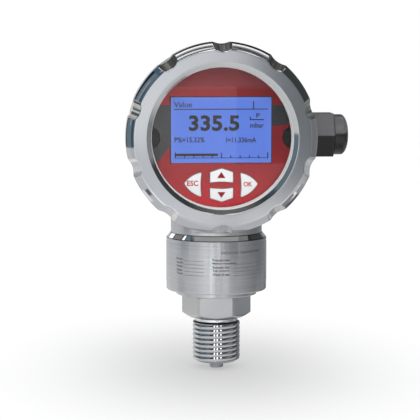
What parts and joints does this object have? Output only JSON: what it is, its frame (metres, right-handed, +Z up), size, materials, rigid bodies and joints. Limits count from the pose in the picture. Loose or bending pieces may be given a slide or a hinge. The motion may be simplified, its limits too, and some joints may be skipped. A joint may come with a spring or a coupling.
{
  "type": "pressure transmitter",
  "caption": "Compact pressure transmitter: round steel head with screw-on window cover, display and keys, cable gland, sensor body and a parallel male process thread on a hexagon.",
  "frame": {"origin": "on the thread axis, at the sealing shoulder under the hexagon", "axes": "+Z up along the sensor body, display faces -Y, cable gland points to +X"},
  "size_m": [0.0982, 0.059, 0.1442],
  "materials": {
    "head_steel": "satin-polished stainless steel",
    "cover_steel": "satin face, polished side and bevel",
    "body_steel": "circumferentially brushed stainless steel",
    "label_foil": "brushed metal foil with small dark print",
    "turned_steel": "turned stainless steel",
    "window_glass": "clear polished glass",
    "seal_rubber": "smooth black rubber",
    "screw_steel": "machined steel",
    "faceplate_print": "satin printed film, red and grey",
    "black_moulding": "fine matt moulded plastic",
    "lcd_blue": "lit blue display with dark segments",
    "light_guide": "milky light guide",
    "key_white": "smooth white keys with red marks",
    "board_green": "solder-masked laminate",
    "brass": "machined brass",
    "terminal_green": "moulded terminal block",
    "ribbon_grey": "flat cable",
    "cell_steel": "welded steel cell",
    "black_nylon": "moulded glass-filled nylon"
  },
  "bodies": {
    "housing": {"housing": "head_steel", "sensor_body": "body_steel", "rating_label": "label_foil", "process_connection": "turned_steel", "display_carrier": "black_moulding", "lcd_glass": "lcd_blue", "faceplate": "faceplate_print", "gland_body": "black_nylon", "gland_washer": "seal_rubber", "gland_seal": "seal_rubber", "sensor_cell": "cell_steel", "cell_seal": "seal_rubber", "cell_retainer": "screw_steel", "body_seal": "seal_rubber", "board_holder": "black_moulding", "main_board": "board_green", "board_link": "ribbon_grey", "display_link": "ribbon_grey", "terminal_board": "board_green", "terminal_block": "terminal_green", "terminal_screws": "screw_steel", "earth_screw": "screw_steel", "board_pillars": "brass", "display_screws": "screw_steel", "display_board": "board_green", "lcd_backlight": "light_guide", "key_switches": "black_moulding"},
    "cover_seal": {"cover_seal": "seal_rubber"},
    "cover": {"cover_ring": "cover_steel", "window_gasket": "seal_rubber", "window_glass": "window_glass", "glass_retainer": "screw_steel"},
    "gland_claw": {"gland_claw": "black_nylon"},
    "gland_nut": {"gland_nut": "black_nylon"},
    "key_esc_body": {"key_esc": "key_white"},
    "key_up_body": {"key_up": "key_white"},
    "key_down_body": {"key_down": "key_white"},
    "key_ok_body": {"key_ok": "key_white"}
  },
  "joints": [
    {"name": "cover_advance", "type": "slide", "parent": "housing", "child": "cover_seal", "axis": [0, -1, 0], "range_m": [0, 0.00376]},
    {"name": "cover_turn", "type": "hinge", "parent": "cover_seal", "child": "cover", "pos_m": [0, -0.025, 0.0808], "axis": [0, -1, 0], "range_deg": [0, 900]},
    {"name": "gland_advance", "type": "slide", "parent": "housing", "child": "gland_claw", "axis": [1, 0, 0], "range_m": [0, 0.00301]},
    {"name": "gland_turn", "type": "hinge", "parent": "gland_claw", "child": "gland_nut", "pos_m": [0.054, 0, 0.0803], "axis": [1, 0, 0], "range_deg": [0, 720]},
    {"name": "key_esc_press", "type": "slide", "parent": "housing", "child": "key_esc_body", "axis": [0, 1, 0], "range_m": [0, 0.0005], "stiffness_N_per_m": 400},
    {"name": "key_up_press", "type": "slide", "parent": "housing", "child": "key_up_body", "axis": [0, 1, 0], "range_m": [0, 0.0005], "stiffness_N_per_m": 400},
    {"name": "key_down_press", "type": "slide", "parent": "housing", "child": "key_down_body", "axis": [0, 1, 0], "range_m": [0, 0.0005], "stiffness_N_per_m": 400},
    {"name": "key_ok_press", "type": "slide", "parent": "housing", "child": "key_ok_body", "axis": [0, 1, 0], "range_m": [0, 0.0005], "stiffness_N_per_m": 400}
  ],
  "couplings": [
    {"joint": "cover_advance", "follows": "cover_turn", "m_per_rad": 0.00023873},
    {"joint": "gland_advance", "follows": "gland_turn", "m_per_rad": 0.00023873}
  ]
}
